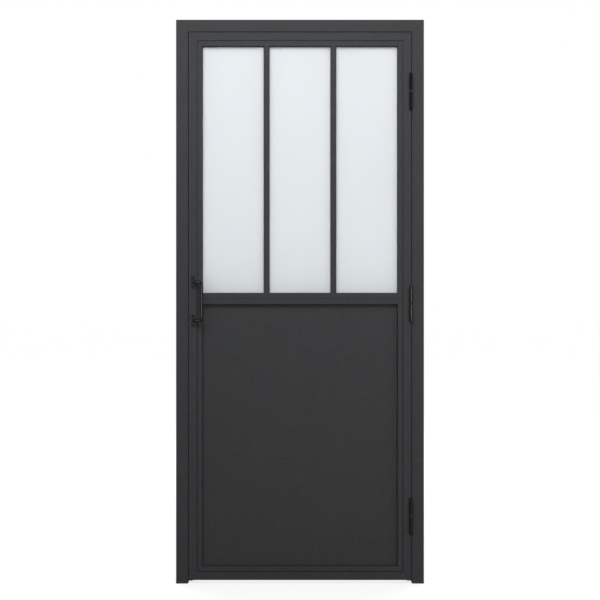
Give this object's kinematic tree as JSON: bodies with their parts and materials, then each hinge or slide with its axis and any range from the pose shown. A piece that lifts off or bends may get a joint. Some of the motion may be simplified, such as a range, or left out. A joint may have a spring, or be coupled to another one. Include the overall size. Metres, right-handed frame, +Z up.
{
  "type": "interior door",
  "caption": "Framed interior door with frosted panes over a plain panel, hung on barrel hinges in a rebated frame, with offset pull handles and a roller catch.",
  "frame": {"origin": "floor level, centred in the width of the frame, on the mid-plane of the leaf", "axes": "+Z up, +X to the hinge side, -Y to the side where the hinges show and the leaf opens"},
  "size_m": [0.923, 0.126, 2.0995],
  "materials": {
    "coat": "fine-textured powder coat",
    "panel_coat": "fine-textured powder coat",
    "frosted_glass": "frosted",
    "gasket": "matt",
    "hinge_black": "semi-gloss black",
    "handle_black": "satin black",
    "zinc_steel": "zinc plated",
    "cleat_aluminium": "mill finish",
    "nylon": "moulded, black",
    "roller_nylon": "moulded, natural"
  },
  "bodies": {
    "frame": {"frame_jamb_hinge": "coat", "frame_jamb_latch": "coat", "frame_head": "coat", "frame_corner_cleats": "cleat_aluminium", "frame_seal_hinge": "gasket", "frame_seal_latch": "gasket", "frame_seal_head": "gasket", "frame_backing_plates": "zinc_steel", "strike_plate": "zinc_steel", "strike_screws": "zinc_steel", "hinge_frame_half_top": "hinge_black", "hinge_frame_half_middle": "hinge_black", "hinge_frame_half_bottom": "hinge_black", "hinge_pins": "zinc_steel", "hinge_bushes": "nylon", "hinge_frame_caps": "hinge_black", "hinge_frame_screws": "zinc_steel"},
    "leaf": {"leaf_stile_hinge": "coat", "leaf_stile_latch": "coat", "leaf_rail_top": "coat", "leaf_rail_bottom": "coat", "leaf_rail_mid": "coat", "leaf_corner_cleats": "cleat_aluminium", "leaf_backing_plates": "zinc_steel", "glazing_bar_left": "coat", "glazing_bar_right": "coat", "glazing_cap_left": "coat", "glazing_cap_right": "coat", "glass_left": "frosted_glass", "glass_middle": "frosted_glass", "glass_right": "frosted_glass", "glass_gasket_left": "gasket", "glass_gasket_middle": "gasket", "glass_gasket_right": "gasket", "glass_bead_top": "coat", "glass_bead_bottom": "coat", "glass_bead_left": "coat", "glass_bead_right": "coat", "lower_panel": "panel_coat", "panel_gasket": "gasket", "setting_blocks": "gasket", "panel_bead_top": "coat", "panel_bead_bottom": "coat", "panel_bead_left": "coat", "panel_bead_right": "coat", "handle_front": "handle_black", "handle_back": "handle_black", "handle_screws": "handle_black", "hinge_leaf_half_top": "hinge_black", "hinge_leaf_half_middle": "hinge_black", "hinge_leaf_half_bottom": "hinge_black", "hinge_leaf_caps": "hinge_black", "hinge_leaf_screws": "zinc_steel", "latch_case": "zinc_steel", "latch_screws": "zinc_steel", "latch_spring": "zinc_steel"},
    "latch_bolt": {"latch_bolt": "zinc_steel", "latch_roller_pin": "zinc_steel"},
    "latch_roller": {"latch_roller": "roller_nylon"}
  },
  "joints": [
    {"name": "leaf_swing", "type": "hinge", "parent": "frame", "child": "leaf", "pos_m": [0.4127, -0.0275, 0], "axis": [0, 0, 1], "range_deg": [0, 170]},
    {"name": "latch_slide", "type": "slide", "parent": "leaf", "child": "latch_bolt", "axis": [1, 0, 0], "range_m": [0, 0.0055], "stiffness_N_per_m": 1500, "springref_m": -0.004, "deforming": ["latch_spring"]},
    {"name": "roller_spin", "type": "hinge", "parent": "latch_bolt", "child": "latch_roller", "pos_m": [-0.4165, 0, 1.051], "axis": [0, 0, 1], "continuous": true}
  ]
}
